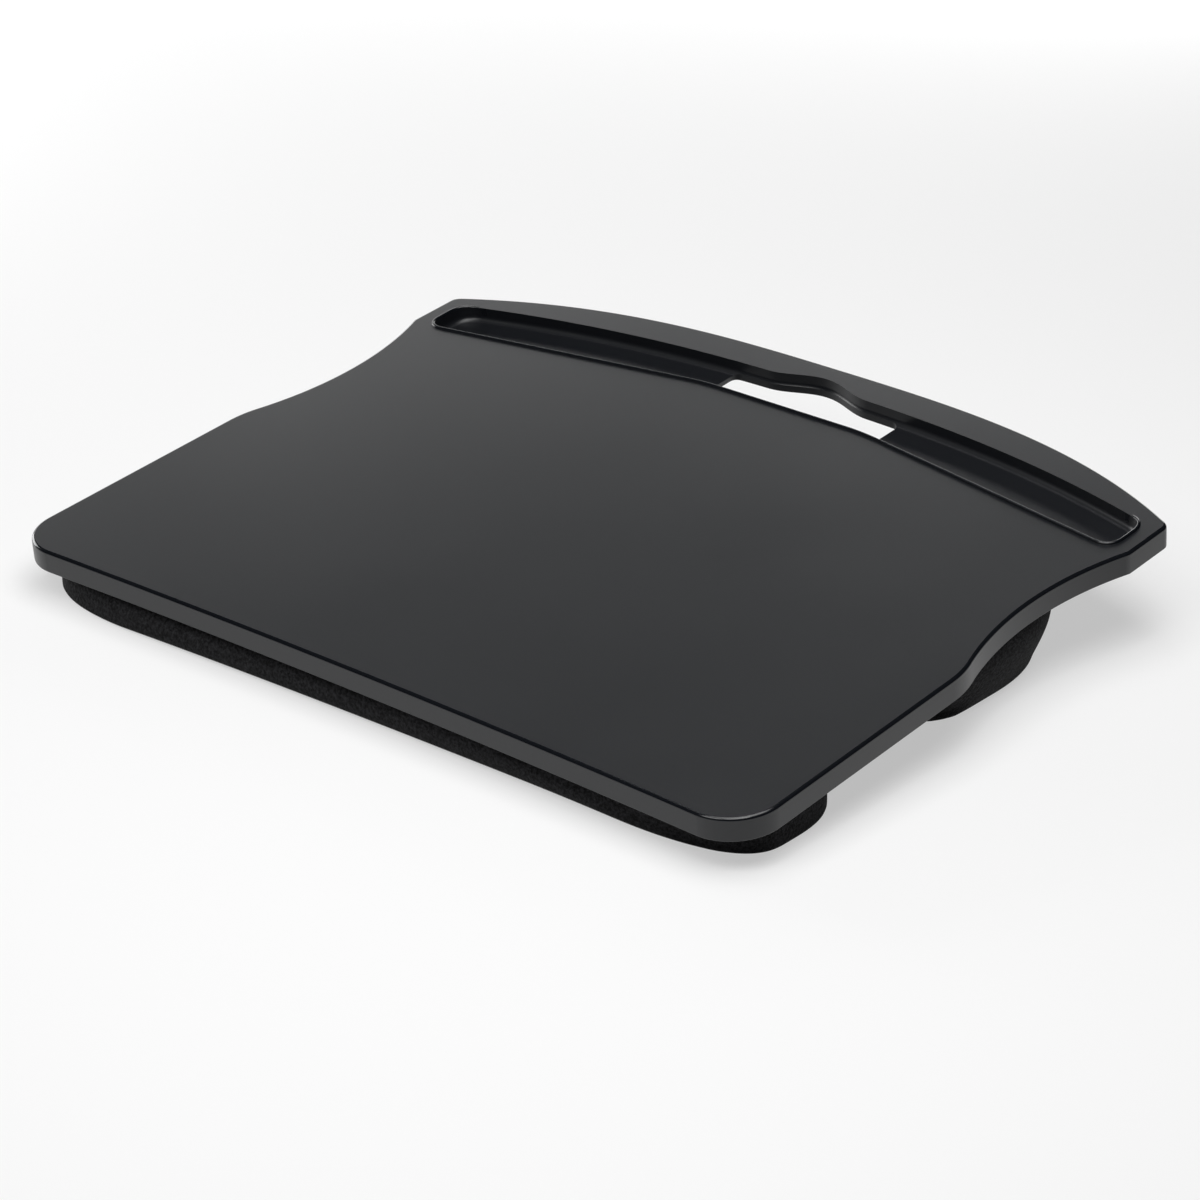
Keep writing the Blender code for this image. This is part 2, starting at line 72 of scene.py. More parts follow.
bpy.ops.object.select_all(action="DESELECT")
bpy.ops.object.camera_add(location=camera_place, rotation=(camera_pitch, 0.0, camera_turn))
camera = bpy.context.object
camera.data.lens = lens_length
camera.data.clip_end = farthest_seen
bpy.context.scene.camera = camera
print("camera stands", round(camera_place.length, 3), "m from the tray")

# %% [markdown]
# ## The plane of the deck
#
# A moulding is drawn on its own plane: x to the right, y from the front edge to the rear edge,
# z up from the top face. The tray then tilts that plane towards its user. Working flat keeps
# every formula short, and the tilt is done once, at the end. The sizes here are the ones that
# the engineering model has, so that both describe one tray.

# %% Sizes of the deck
deck_width = 0.431
deck_depth = 0.3484
front_bow = 0.0039
front_corner_radius = 0.024
waist_length = 0.123
waist_depth = 0.0112
ear_length = 0.0307
waist_bend = 0.009
rear_corner_radius = 0.004
rear_arc_drop = 0.0428
rear_arc_power = 2.9
front_height = 0.025
deck_tilt = math.radians(5.45)
lower_round = 0.0006
top_round = 0.0016
skirt_depth = 0.011
near = 0.00001

half_width = deck_width / 2
front_extent = top_round * math.sin(deck_tilt)
rear_extent = deck_depth * math.cos(deck_tilt) + (skirt_depth - lower_round) * math.sin(deck_tilt)
origin_shift = -(front_extent + rear_extent) / 2


def spread(start, end, steps):
    """Evenly spaced values with both ends included."""
    return [start + (end - start) * step / steps for step in range(steps + 1)]


def arc(centre, radius, start, end, steps):
    """Points on an arc, with the angles in degrees and both ends included."""
    angles = [math.radians(angle) for angle in spread(start, end, steps)]
    return [centre + radius * Vector((math.cos(a), math.sin(a))) for a in angles]


def curve_through(start, corner, end, steps):
    """A round corner drawn as a quadratic curve."""
    points = []
    for share in spread(0.0, 1.0, steps):
        points.append(start * (1 - share) ** 2 + corner * (2 * share * (1 - share)) + end * share**2)
    return points


def mirrored(right_side):
    """Closes a right-hand outline, listed from the front to the rear, with its left twin."""
    left_side = [Vector((-p.x, p.y)) for p in reversed(right_side)]
    return list(right_side) + [p for p in left_side if abs(p.x) > near]


print("middle of the tray lies", round(-origin_shift, 5), "m behind its front edge")

# %% [markdown]
# ## The outline of the deck
#
# The front edge bows gently, its corners are round, and each side is waisted: it bends in
# softly and ends in a sharp kink. Behind the waist a short ear leads to the rear arc. A
# hand-drawn outline would wobble in the reflections, so each stretch is a formula: a parabola,
# an arc, and a power curve that stays flat in the middle and drops faster towards the ears.

# %% Draw the outline
front_edge_steps = 24
front_corner_steps = 24
waist_steps = 40
waist_bend_steps = 8
rear_corner_steps = 10
rear_edge_steps = 64


def front_line(x):
    """The front edge, which stands furthest back in the middle."""
    return front_bow * (1 - (x / half_width) ** 2)


def rear_line(x):
    """The rear arc, which stays flat in the middle and drops towards the ears."""
    return deck_depth - rear_arc_drop * abs(x / half_width) ** rear_arc_power


def waist_points():
    """The concave stretch of the side, an arc that starts with a soft bend and ends in a kink."""
    half = waist_length / 2
    radius = (half**2 + waist_depth**2) / (2 * waist_depth)
    reach = math.degrees(math.asin(half / radius))
    middle_y = deck_depth - rear_arc_drop - ear_length - half
    centre = Vector((half_width - waist_depth + radius, middle_y))
    bend_reach = reach - math.degrees(waist_bend / radius)
    hollow_side = arc(centre, radius, 180 + bend_reach, 180 - reach, waist_steps)
    kink = Vector((half_width, middle_y - half))
    start = kink - Vector((0.0, waist_bend))
    return curve_through(start, kink, hollow_side[0], waist_bend_steps) + hollow_side[1:]


def deck_outline():
    """The right half from the front to the rear, and its left twin."""
    corner_x = half_width - front_corner_radius
    right = [Vector((x, front_line(x))) for x in spread(0.0, corner_x, front_edge_steps)]
    corner_centre = Vector((corner_x, right[-1].y + front_corner_radius))
    right += arc(corner_centre, front_corner_radius, -90, 0, front_corner_steps)[1:]
    right += waist_points()
    start = Vector((half_width, rear_line(half_width) - rear_corner_radius))
    inner_x = half_width - rear_corner_radius
    end = Vector((inner_x, rear_line(inner_x)))
    right += curve_through(start, Vector((half_width, rear_line(half_width))), end, rear_corner_steps)
    right += [Vector((x, rear_line(x))) for x in spread(inner_x, 0.0, rear_edge_steps)[1:]]
    return mirrored(right)


outline = deck_outline()
print("corners of the outline:", len(outline))

# %% [markdown]
# ## Tools for the bench
#
# Blender's own operators act on what is selected. So each helper below clears the selection,
# picks faces or edges by their place, and then calls one operator. A flat plate starts as a
# filled circle whose corners are carried to an outline, because a circle is the one primitive
# that can have as many corners as a drawing needs.

# %% Helpers that model with Blender's operators
circle_profile = 0.5


def flat_plate(name, points, height=0.0):
    """Adds a filled circle and carries its corners to an outline."""
    bpy.ops.object.select_all(action="DESELECT")
    bpy.ops.mesh.primitive_circle_add(vertices=len(points), fill_type="NGON")
    plate = bpy.context.object
    plate.name = plate.data.name = name
    for vertex, point in zip(plate.data.vertices, points):
        vertex.co = (point.x, point.y, height)
    return plate


def edit(piece, kind="FACE"):
    """Opens a piece for editing with everything in it selected."""
    bpy.ops.object.mode_set(mode="OBJECT")
    bpy.ops.object.select_all(action="DESELECT")
    piece.select_set(True)
    bpy.context.view_layer.objects.active = piece
    bpy.ops.object.mode_set(mode="EDIT")
    bpy.ops.mesh.select_mode(type=kind)
    bpy.ops.mesh.select_all(action="SELECT")


def pick(piece, kind, wanted):
    """Selects the faces or edges of a piece that pass a test."""
    edit(piece, kind)
    bpy.ops.mesh.select_all(action="DESELECT")
    form = bmesh.from_edit_mesh(piece.data)
    for element in form.faces if kind == "FACE" else form.edges:
        if wanted(element):
            element.select_set(True)
    bmesh.update_edit_mesh(piece.data)


def at_height(height):
    """A test for faces or edges that lie wholly at one height."""
    return lambda element: all(abs(v.co.z - height) < near for v in element.verts)


def push(distance):
    """Extrudes what is selected straight up, or down if negative."""
    bpy.ops.mesh.extrude_region_move(TRANSFORM_OT_translate={"value": (0.0, 0.0, distance)})


def done(piece):
    """Closes a piece that was open for editing."""
    bpy.ops.object.mode_set(mode="OBJECT")
    return piece


def prism(name, points, bottom, top):
    """An outline raised into a closed solid between two heights."""
    piece = flat_plate(name, points, bottom)
    edit(piece)
    push(top - bottom)
    bpy.ops.mesh.select_all(action="SELECT")
    bpy.ops.mesh.normals_make_consistent(inside=False)
    return done(piece)


def round_edges(piece, height, radius, steps):
    """Rounds the edges that lie at one height with part of a circle."""
    pick(piece, "EDGE", at_height(height))
    bpy.ops.mesh.bevel(offset=radius, segments=steps, profile=circle_profile, clamp_overlap=False)
    return done(piece)


def combine(piece, other, operation):
    """Joins another solid to a piece, or cuts it away, and removes the other one."""
    step = piece.modifiers.new(operation, "BOOLEAN")
    step.operation = operation
    step.solver = "MANIFOLD"
    step.object = other
    finish_modifiers(piece)
    bpy.data.objects.remove(other, do_unlink=True)


def finish_modifiers(piece):
    """Applies all the modifiers of a piece, in their order."""
    bpy.ops.object.select_all(action="DESELECT")
    bpy.context.view_layer.objects.active = piece
    for modifier in list(piece.modifiers):
        bpy.ops.object.modifier_apply(modifier=modifier.name)


def moved_in(points, distance):
    """The outline moved inwards by a distance, or outwards if negative."""
    moved = []
    for i, point in enumerate(points):
        before = (point - points[i - 1]).normalized()
        after = (points[(i + 1) % len(points)] - point).normalized()
        direction = (before + after).normalized()
        inward = Vector((-direction.y, direction.x))
        moved.append(point + inward * (distance / before.dot(direction)))
    return moved


# %% [markdown]
# ## The shell of the deck
#
# On the real tray the top face, the rounded edge and the skirt are one wall of even thickness,
# and the underside is hollow. It could be made as a sheet with a Solidify modifier, but the
# ribs and bosses below would then not merge with it. Here a solid slab gets its rounded edges
# by bevels, and a second, smaller slab hollows it out, as the core half of a mould does.

# %% Raise the slab and hollow it
plate_thickness = 0.0025
skirt_wall = 0.0025
inner_round = 0.001
overrun = 0.002
edge_steps = 8
small_steps = 3

deck = prism("moulded_deck", outline, -skirt_depth, 0.0)
round_edges(deck, 0.0, top_round, edge_steps)
round_edges(deck, -skirt_depth, lower_round, small_steps)
hollow = prism("hollow", moved_in(outline, skirt_wall), -skirt_depth - overrun, -plate_thickness)
round_edges(hollow, -plate_thickness, inner_round, small_steps)
combine(deck, hollow, "DIFFERENCE")
print("faces of the shell:", len(deck.data.polygons))

# %% [markdown]
# ## Ribs and screw bosses
#
# Thin plastic needs ribs, and the cushions' boards need something to be screwed to. Each board
# has two rows of four bosses, and a rib runs through every row and column. These are plain
# boxes and cylinders that are joined to the shell, which is what they are in the mould too:
# slots and holes sunk into one block of steel.

# %% Add the ribs and the bosses
rib_thickness = 0.0018
rib_height = 0.004
boss_radius = 0.004
boss_drop = 0.0078
boss_rows = (0.0252, 0.0642, 0.184, 0.246)
boss_row_half = 0.1575
column_shares = (-1.0, -1.0 / 3.0, 1.0 / 3.0, 1.0)
boss_sides = 40
plate_middle = -plate_thickness / 2
boss_columns = [share * boss_row_half for share in column_shares]


def reach_at(points, y):
    """How far to the right an outline reaches at one y."""
    reach = 0.0
    for start, end in zip(points, points[1:]):
        if (start.y - y) * (end.y - y) <= 0.0 and start.y != end.y:
            share = (y - start.y) / (end.y - start.y)
            reach = max(reach, start.x + (end.x - start.x) * share)
    return reach


def bar(name, low, high):
    """A box between two corners."""
    size = high - low
    bpy.ops.object.select_all(action="DESELECT")
    bpy.ops.mesh.primitive_cube_add(size=1.0, location=(low + high) / 2)
    piece = bpy.context.object
    piece.name = name
    bpy.ops.transform.resize(value=size)
    bpy.ops.object.transform_apply(location=True, rotation=True, scale=True)
    return piece


def pillar(name, place, radius, low, high):
    """A round post between two heights."""
    bpy.ops.object.select_all(action="DESELECT")
    bpy.ops.mesh.primitive_cylinder_add(
        vertices=boss_sides, radius=radius, depth=high - low,
        location=(place.x, place.y, (low + high) / 2),
    )
    piece = bpy.context.object
    piece.name = name
    bpy.ops.object.transform_apply(location=True, rotation=True, scale=True)
    return piece


rib_low = -plate_thickness - rib_height
for y in boss_rows:
    reach = reach_at(outline, y) - skirt_wall / 2
    low = Vector((-reach, y - rib_thickness / 2, rib_low))
    combine(deck, bar("cross_rib", low, Vector((reach, y + rib_thickness / 2, plate_middle))), "UNION")
for x in boss_columns:
    low = Vector((x - rib_thickness / 2, front_line(x) + skirt_wall / 2, rib_low))
    high = Vector((x + rib_thickness / 2, rear_line(x) - skirt_wall / 2, plate_middle))
    combine(deck, bar("long_rib", low, high), "UNION")
boss_places = [Vector((x, y)) for y in boss_rows for x in boss_columns]
for place in boss_places:
    combine(deck, pillar("boss", place, boss_radius, -boss_drop, plate_middle), "UNION")
print("bosses:", len(boss_places))

# %% [markdown]
# ## The pen trough
#
# The trough has a straight middle, two slanting wings and an arced back wall with a rounded
# notch for the fingers. Its floor meets its walls in a cove, so that a fingertip can roll a pen
# out. The satin floor mirrors the dark back wall, which is what makes it change from black to
# grey in the photo. The space is modelled as a solid with a bevelled lower edge and cut out of
# the deck. The same outline, grown by the wall, is joined first and becomes the tub that hangs
# under the plate.

# %% Draw the mouth of the trough
trough_depth = 0.0073
trough_floor = 0.0023
trough_wall = 0.0024
trough_middle_width = 0.0275
trough_rim = 0.0197
trough_end_rim = 0.0105
trough_back_drop = 0.028
trough_back_power = 2.3
trough_corner_radius = 0.0095
trough_cove = 0.003
tub_cove = 0.002
wing_drop = 0.0272
wing_bend = 0.010
straight_front_length = 0.096
finger_bump = 0.0075
finger_bump_length = 0.060
trough_corner_steps = 20
wing_bend_steps = 12
trough_back_steps = 60
finger_bump_steps = 30
cove_steps = 12

trough_back_y = deck_depth - trough_rim
trough_front_y = trough_back_y - trough_middle_width
trough_half = half_width - trough_end_rim
half_straight = straight_front_length / 2
half_bump = finger_bump_length / 2


def trough_back(x):
    """A point of the back wall: an arc with the finger notch in its middle."""
    y = trough_back_y - trough_back_drop * abs(x / trough_half) ** trough_back_power
    if abs(x) < half_bump:
        y += finger_bump * math.cos(math.pi / 2 * x / half_bump) ** 2
    return Vector((x, y))


def trough_front(x):
    """A point of the front wall: straight in the middle, then slanting forward."""
    run = max(abs(x) - half_straight, 0.0)
    return Vector((x, trough_front_y - wing_drop * run / (trough_half - half_straight)))


def trough_mouth():
    """The trough as seen from above, with a bend in its front wall and four soft corners."""
    rise = Vector((0.0, trough_corner_radius))
    inner_x = trough_half - trough_corner_radius
    bend_ends = trough_front(half_straight - wing_bend), trough_front(half_straight + wing_bend)
    right = [trough_front(0.0)]
    right += curve_through(bend_ends[0], trough_front(half_straight), bend_ends[1], wing_bend_steps)
    corner = trough_front(trough_half)
    right += curve_through(trough_front(inner_x), corner, corner + rise, trough_corner_steps)
    corner = trough_back(trough_half)
    right += curve_through(corner - rise, corner, trough_back(inner_x), trough_corner_steps)
    right += [trough_back(x) for x in spread(inner_x, half_bump, trough_back_steps)[1:]]
    right += [trough_back(x) for x in spread(half_bump, 0.0, finger_bump_steps)[1:]]
    return mirrored(right)


mouth = trough_mouth()
print("trough is", round(2 * trough_half, 4), "m long")

# %% Hang the tub and cut the trough
tub_bottom = -trough_depth - trough_floor
tub = prism("tub", moved_in(mouth, -trough_wall), tub_bottom, plate_middle)
round_edges(tub, tub_bottom, tub_cove, small_steps)
combine(deck, tub, "UNION")
trough = prism("trough", mouth, -trough_depth, overrun)
round_edges(trough, -trough_depth, trough_cove, cove_steps)
combine(deck, trough, "DIFFERENCE")
print("faces with the trough:", len(deck.data.polygons))

# %% [markdown]
# ## The hand hole and the screw holes
#
# In the middle of the trough the floor is open, so that a hand can carry the tray. The hole
# runs from wall to wall and leaves a hair of floor on both sides. The bosses get blind holes,
# which end just inside the plate so that nothing shows on top.

# %% Cut the holes
hole_length = 0.100
hole_ledge = 0.0007
hole_corner_radius = 0.004
hole_corner_steps = 8
hole_back_steps = 60
pilot_radius = 0.0015
pilot_top = -0.002


def hole_outline():
    """The hole as seen from above, with small round corners and the notch in its back."""
    half = hole_length / 2
    inner_x = half - hole_corner_radius
    ledge = Vector((0.0, hole_ledge))
    rise = Vector((0.0, hole_corner_radius))
    front_corner = trough_front(half) + ledge
    back_corner = trough_back(half) - ledge
    right = [trough_front(0.0) + ledge]
    right += curve_through(
        trough_front(inner_x) + ledge, front_corner, front_corner + rise, hole_corner_steps
    )
    right += curve_through(
        back_corner - rise, back_corner, trough_back(inner_x) - ledge, hole_corner_steps
    )
    right += [trough_back(x) - ledge for x in spread(inner_x, 0.0, hole_back_steps)[1:]]
    return mirrored(right)


hole = prism("hole", hole_outline(), tub_bottom - overrun, -plate_thickness)
combine(deck, hole, "DIFFERENCE")
for place in boss_places:
    combine(deck, pillar("pilot", place, pilot_radius, -boss_drop - overrun, pilot_top), "DIFFERENCE")
print("faces with the holes:", len(deck.data.polygons))

# %% [markdown]
# ## The bead round the trough
#
# A low round bead stands along the front and the ends of the trough, so that pens don't roll
# onto the laptop. It fades out where it meets the back wall. A round wire bent along the mouth
# and sunk by half its thickness gives the same section everywhere, and its ends can be let
# down into the plate. It is joined to the deck after the trough is cut, so that its inner side
# runs on smoothly from the wall.

# %% Bend the bead and join it
bead_radius = 0.0009
bead_rise = 0.0001
bead_proud = 0.00005
bead_fade_length = 0.012
bead_sunk = 0.0012
bead_resolution = 6
back_corner_share = 0.25


def bead_path():
    """The mouth from one back corner round the front to the other, with its outward directions."""
    outer = moved_in(mouth, -bead_radius)
    corner_x = trough_half - trough_corner_radius
    kept = []
    for point, moved in zip(mouth, outer):
        at_back = point.y > trough_back(point.x).y - trough_corner_radius * back_corner_share
        if not (at_back and abs(point.x) < corner_x - near):
            kept.append((point, (moved - point).normalized()))
    return [pair for pair in kept if pair[0].x < 0.0] + [pair for pair in kept if pair[0].x >= 0.0]


def bent_wire(name, path):
    """A round wire through points whose ends sink away."""
    curve = bpy.data.curves.new(name, "CURVE")
    curve.dimensions = "3D"
    curve.bevel_depth = bead_radius
    curve.bevel_resolution = bead_resolution
    curve.use_fill_caps = True
    line = curve.splines.new("POLY")
    line.points.add(len(path) - 1)
    along = 0.0
    lengths = [0.0]
    for start, end in zip(path, path[1:]):
        along += (end[0] - start[0]).length
        lengths.append(along)
    for knot, (point, outward), length in zip(line.points, path, lengths):
        fade = min(length / bead_fade_length, (along - length) / bead_fade_length, 1.0)
        place = point + outward * (bead_radius - bead_proud)
        knot.co = (place.x, place.y, bead_rise - bead_sunk * (1 - fade) ** 2, 1.0)
    wire = bpy.data.objects.new(name, curve)
    bpy.context.scene.collection.objects.link(wire)
    return wire


bpy.ops.object.select_all(action="DESELECT")
bead = bent_wire("bead", bead_path())
bead.select_set(True)
bpy.context.view_layer.objects.active = bead
bpy.ops.object.convert(target="MESH")
bead = bpy.context.object
edit(bead)
bpy.ops.mesh.remove_doubles(threshold=near)
bpy.ops.mesh.normals_make_consistent(inside=False)
done(bead)
combine(deck, bead, "UNION")
print("faces with the bead:", len(deck.data.polygons))

# %% [markdown]
# ## Tilt and smooth the deck
#
# The finished moulding is tilted into its place and compared with the engineering model's box.
# Its curved faces are shaded smooth and its flat ones keep the true direction of their plane:
# a weighted normal lets the large faces decide, so the top stays flat right up to its rounded
# edge.

# %% Put the deck in its place
crease_angle = math.radians(30)
flat_angle = math.radians(5)


def smooth(piece, angle=crease_angle):
    """Shades a piece smooth between its sharp edges and lets the large faces lead."""
    bpy.ops.object.select_all(action="DESELECT")
    piece.select_set(True)
    bpy.context.view_layer.objects.active = piece
    bpy.ops.object.shade_smooth_by_angle(angle=angle)
    weighted = piece.modifiers.new("weighted_normals", "WEIGHTED_NORMAL")
    weighted.keep_sharp = True
    finish_modifiers(piece)


def mark_rounded_edges(piece):
    """Notes on each face whether it belongs to a rounded edge of the top, as handling polishes it."""
    marks = piece.data.attributes.new("polish", "FLOAT", "FACE")
    flat = math.cos(flat_angle)
    for face, mark in zip(piece.data.polygons, marks.data):
        rounded = face.center.z > -top_round and face.normal.z < flat
        mark.value = 1.0 if rounded else 0.0


edit(deck)
bpy.ops.mesh.remove_doubles(threshold=near)
done(deck)
mark_rounded_edges(deck)
deck.location = (0.0, origin_shift, front_height)
deck.rotation_euler = (deck_tilt, 0.0, 0.0)
bpy.ops.object.select_all(action="DESELECT")
deck.select_set(True)
bpy.context.view_layer.objects.active = deck
bpy.ops.object.transform_apply(location=True, rotation=True, scale=True)
smooth(deck)
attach(deck, "root")
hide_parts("deck")
low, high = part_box("deck")
corners = [Vector(v.co) for v in deck.data.vertices]
print("deck box in the frame:", [round(v, 4) for v in (*low, *high)])
for axis, letter in enumerate("xyz"):
    values = [c[axis] for c in corners]
    print("deck here along", letter, round(min(values), 4), round(max(values), 4))

# %% [markdown]
# ## The cushions
#
# Each cushion is a bag of stretch fabric filled with loose foam beads. Its top is clamped flat
# between the deck's ribs and a board, its foot is pressed flat by the floor, and only its side
# is free to swell. A modelled bulge looks inflated and too even. So the bag is cut out flat,
# raised as a box of even small faces, and blown up by a short cloth simulation with its hem
# and its foot held still. Only the rim of the foot may give, as it does on a table.
#
# The front cushion sits a little askew. A turned bag would leave a corner of its board bare, so
# it has two plans: the hem keeps to the board, and the foot stands askew on the floor.

# %% Lay out the two plans
plan_spacing = 0.0036
corner_steps = 24


def respaced(points, spacing):
    """The same closed outline with evenly spaced points."""
    closed = points + [points[0]]
    lengths = [(b - a).length for a, b in zip(closed, closed[1:])]
    count = round(sum(lengths) / spacing)
    step = sum(lengths) / count
    placed = []
    i = 0
    passed = 0.0
    for number in range(count):
        wanted = number * step
        while passed + lengths[i] < wanted:
            passed += lengths[i]
            i += 1
        placed.append(closed[i].lerp(closed[i + 1], (wanted - passed) / lengths[i]))
    return placed


def cushion_plan(front, rear_y, left_x, right_x, corners):
    """A plan with a front line and four soft corners, each given by its run along x and y."""
    front_left, front_right, rear_right, rear_left = [Vector(corner) for corner in corners]
    xs = spread(left_x + front_left.x, right_x - front_right.x, corner_steps)
    points = [Vector((x, front(x))) for x in xs]
    corner = Vector((right_x, points[-1].y))
    side = corner + Vector((0.0, front_right.y))
    points += curve_through(points[-1], corner, side, corner_steps)[1:]
    corner = Vector((right_x, rear_y))
    side, rear = corner - Vector((0.0, rear_right.y)), corner - Vector((rear_right.x, 0.0))
    points += curve_through(side, corner, rear, corner_steps)
    corner = Vector((left_x, rear_y))
    rear, side = corner + Vector((rear_left.x, 0.0)), corner - Vector((0.0, rear_left.y))
    points += curve_through(rear, corner, side, corner_steps)
    corner = Vector((left_x, points[0].y))
    side = corner + Vector((0.0, front_left.y))
    points += curve_through(side, corner, points[0], corner_steps)[:-1]
    return respaced(points, plan_spacing)


front_hem_setback = 0.0052
front_hem_half = 0.2075
front_hem_corners = ((0.035, 0.035),) * 4
front_cushion_left = -0.2096
front_cushion_right = 0.2066
front_cushion_rear = 0.0842
front_corners = ((0.064, 0.040), (0.066, 0.026), (0.030, 0.036), (0.034, 0.034))
skew_length = 0.150
skew_middle = 0.0070
skew_lean = 0.00375
skew_bow = 0.0016


def front_hem_front(x):
    """The front line of the hem, drawn back in the middle as the edge of the deck is."""
    return front_hem_setback + front_bow * (1 - (x / front_hem_half) ** 2)


def front_cushion_front(x):
    """The front line of the foot, which stands further back on the right."""
    share = x / skew_length
    return skew_middle + skew_lean * share + skew_bow * (1 - share**2)


rear_cushion_front_y = 0.1592
rear_cushion_rear_y = 0.266
rear_cushion_half = 0.2012
rear_corners = ((0.019, 0.019), (0.019, 0.019), (0.050, 0.060), (0.050, 0.060))
front_plan = cushion_plan(
    front_hem_front, front_cushion_rear, -front_hem_half, front_hem_half, front_hem_corners
)
askew_plan = cushion_plan(
    front_cushion_front, front_cushion_rear, front_cushion_left, front_cushion_right, front_corners
)
rear_plan = cushion_plan(
    lambda x: rear_cushion_front_y, rear_cushion_rear_y,
    -rear_cushion_half, rear_cushion_half, rear_corners,
)
print("points round the cushions:", len(front_plan), len(rear_plan))

# %% Raise a bag from its plan
hem_top = -0.0068
hem_lip = 0.0008
board_underside = -0.0111
hem_width = 0.008
hem_rows = 2
foot_width = 0.009
foot_rows = 3
front_side_rows = 6
front_foot_scale = (1.0, 1.0)
front_crown = 0.0
rear_side_rows = 11
rear_foot_scale = (0.962, 1.0)
rear_crown = 0.018


def on_deck_plane(point, drop):
    """A point of the deck's plane, at a height off its top face, as the tilt places it."""
    return Vector((
        point.x,
        origin_shift + point.y * math.cos(deck_tilt) - drop * math.sin(deck_tilt),
        front_height + point.y * math.sin(deck_tilt) + drop * math.cos(deck_tilt),
    ))


def side_scale(share, foot, crown):
    """The size of a level of the bag, from 1 at the board to the foot's, widest a third down."""
    widest = 1.0 / 3.0
    bulge = share * (1.0 - share) ** 2 / (widest * (1.0 - widest) ** 2)
    return 1.0 + (foot - 1.0) * share + crown * bulge


def raise_bag(name, plan, rows, foot_scale, crown):
    """An open bag: a hem, a rim as high as the board, a side in rows, and a foot on the floor."""
    bag = flat_plate(name, plan)
    for vertex in bag.data.vertices:
        vertex.co = on_deck_plane(vertex.co, hem_top)
    edit(bag)
    across = Vector((0.0, -math.sin(deck_tilt), math.cos(deck_tilt)))
    for drop in (-hem_lip, board_underside - hem_top + hem_lip):
        bpy.ops.mesh.extrude_region_move(TRANSFORM_OT_translate={"value": across * drop})
    middle = sum(p.y for p in plan) / len(plan) + origin_shift
    levels = [
        [side_scale(share, foot, crown) for foot in foot_scale] for share in spread(0.0, 1.0, rows)
    ]
    for row, (above, below) in enumerate(zip(levels, levels[1:])):
        sink = (rows - row - 1) / (rows - row)
        step = (below[0] / above[0], below[1] / above[1], sink)
        bpy.ops.mesh.extrude_region_move()
        bpy.ops.transform.resize(value=step, center_override=(0.0, middle, 0.0))
    for row in range(foot_rows):
        bpy.ops.mesh.inset(thickness=foot_width / foot_rows, use_even_offset=True)
    bpy.ops.mesh.quads_convert_to_tris(ngon_method="BEAUTY")
    done(bag)
    # The flat top is now the only face with more than four corners.
    pick(bag, "FACE", lambda face: len(face.verts) > 4)
    for row in range(hem_rows):
        bpy.ops.mesh.inset(thickness=hem_width / hem_rows, use_even_offset=True)
    bpy.ops.mesh.delete(type="FACE")
    bpy.ops.mesh.select_all(action="SELECT")
    bpy.ops.mesh.normals_make_consistent(inside=False)
    done(bag)
    # An open bag can come out inside out, and its foot has to face the floor.
    if sum(face.normal.z * face.area for face in bag.data.polygons if face.center.z < near) > 0.0:
        edit(bag)
        bpy.ops.mesh.flip_normals()
        done(bag)
    return bag


front_bag = raise_bag(
    "front_cushion_fabric", front_plan, front_side_rows, front_foot_scale, front_crown
)
rear_bag = raise_bag("rear_cushion_fabric", rear_plan, rear_side_rows, rear_foot_scale, rear_crown)
for bag in (front_bag, rear_bag):
    height = max(v.co.z for v in bag.data.vertices)
    print(bag.name, "has", len(bag.data.vertices), "points and is", round(height, 4), "m high")

# %% Push the foot of the front bag askew
askew_foot_scale = (1.006, 1.04)
askew_ease = 3


def above_board(place):
    """How far a point lies above the underside of the board, square to the deck."""
    rise = place.z - front_height
    run = place.y - origin_shift
    return rise * math.cos(deck_tilt) - run * math.sin(deck_tilt) - board_underside


def nearest_on(outline, point):
    """The point of a closed outline that is nearest to a point."""
    found = []
    for start, end in zip(outline, outline[1:] + outline[:1]):
        along = end - start
        share = min(max((point - start).dot(along) / along.length_squared, 0.0), 1.0)
        found.append(start + along * share)
    return min(found, key=lambda place: (place - point).length)


def push_askew(bag, plan, askew, foot_scale):
    """Moves the bag below its board from one plan towards another, which it meets at the floor."""
    middle = sum(p.y for p in askew) / len(askew)
    foot = [Vector((p.x * foot_scale[0], middle + (p.y - middle) * foot_scale[1])) for p in askew]
    steps = [nearest_on(foot, p) - p for p in plan]
    for vertex in bag.data.vertices:
        depth = -above_board(vertex.co)
        if depth > near:
            flat = Vector((vertex.co.x, vertex.co.y - origin_shift))
            nearest = min(range(len(plan)), key=lambda i: (plan[i] - flat).length_squared)
            height = vertex.co.z * math.cos(deck_tilt)
            share = 1.0 - (height / (height + depth)) ** askew_ease
            vertex.co.x += steps[nearest].x * share
            vertex.co.y += steps[nearest].y * share
    print(bag.name, "was pushed by up to", round(max(step.length for step in steps), 4))


push_askew(front_bag, front_plan, askew_plan, askew_foot_scale)

# %% Blow the bags up
swell_frames = 20
swell_limit = 0.012
front_pressure = 14.0
rear_pressure = 25.0
cloth_mass = 0.2
cloth_stretch = 10.0
cloth_shear = 5.0
cloth_bending = 0.4
cloth_quality = 6


def hold_still(bag):
    """Puts the hem and the foot, but not the foot's rim, into a group that cloth leaves alone."""
    points = bag.data.vertices
    rim = set()
    for edge in bag.data.edges:
        low, high = sorted(edge.vertices, key=lambda i: points[i].co.z)
        if points[low].co.z < near < points[high].co.z:
            rim.add(low)
    held = bag.vertex_groups.new(name="held")
    for vertex in points:
        in_foot = vertex.co.z < near and vertex.index not in rim
        if in_foot or above_board(vertex.co) > -near:
            held.add([vertex.index], 1.0, "REPLACE")


